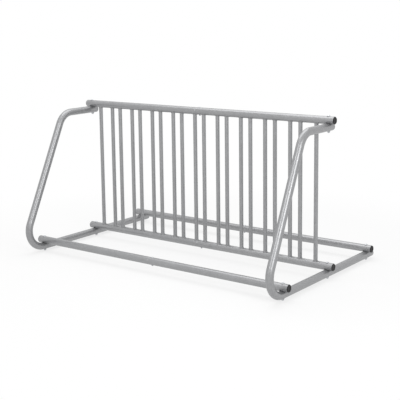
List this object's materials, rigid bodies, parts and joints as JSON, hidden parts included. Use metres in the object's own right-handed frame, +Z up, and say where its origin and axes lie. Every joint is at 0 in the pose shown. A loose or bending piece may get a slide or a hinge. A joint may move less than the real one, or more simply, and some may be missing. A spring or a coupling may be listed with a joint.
{
  "type": "bike rack",
  "caption": "Free-standing floor rack of bolted steel tube: bent end frames carry rails and an upright grid whose slots hold bicycle wheels.",
  "frame": {"origin": "on the floor, under the middle of the rack's outline: mid-length along X, half-way between the front bends and the rear plugs along Y", "axes": "+X along the rails towards the right end seen from the front, +Y to the rear, +Z up; the bends of the end frames stand out to -Y"},
  "size_m": [1.7254, 1.0781, 0.86],
  "materials": {
    "frame_tube": "galvanised, satin grey",
    "rail_tube": "galvanised, satin grey",
    "bar_tube": "galvanised, satin grey",
    "plug": "black moulded, matt",
    "fastener": "zinc plated"
  },
  "bodies": {
    "root": {"end_frame_left": "frame_tube", "end_frame_right": "frame_tube", "front_rail_left": "rail_tube", "front_rail_right": "rail_tube", "base_rail_left": "rail_tube", "base_rail_right": "rail_tube", "rear_rail_left": "rail_tube", "rear_rail_right": "rail_tube", "top_rail_left": "rail_tube", "top_rail_right": "rail_tube", "grid_bar_01": "bar_tube", "grid_bar_02": "bar_tube", "grid_bar_03": "bar_tube", "grid_bar_04": "bar_tube", "grid_bar_05": "bar_tube", "grid_bar_06": "bar_tube", "grid_bar_07": "bar_tube", "grid_bar_08": "bar_tube", "grid_bar_09": "bar_tube", "grid_bar_10": "bar_tube", "grid_bar_11": "bar_tube", "grid_bar_12": "bar_tube", "grid_bar_13": "bar_tube", "grid_bar_14": "bar_tube", "grid_bar_15": "bar_tube", "grid_bar_16": "bar_tube", "grid_bar_17": "bar_tube", "grid_bar_18": "bar_tube", "grid_bar_19": "bar_tube", "grid_bar_20": "bar_tube", "front_rail_plug_left": "plug", "front_rail_plug_right": "plug", "base_rail_plug_left": "plug", "base_rail_plug_right": "plug", "rear_rail_plug_left": "plug", "rear_rail_plug_right": "plug", "top_rail_plug_left": "plug", "top_rail_plug_right": "plug", "frame_plug_left_lower": "plug", "frame_plug_left_upper": "plug", "frame_plug_right_lower": "plug", "frame_plug_right_upper": "plug", "frame_bolts": "fastener", "frame_washers": "fastener", "frame_nuts": "fastener", "splice_bolts": "fastener", "splice_nuts": "fastener"}
  },
  "joints": []
}
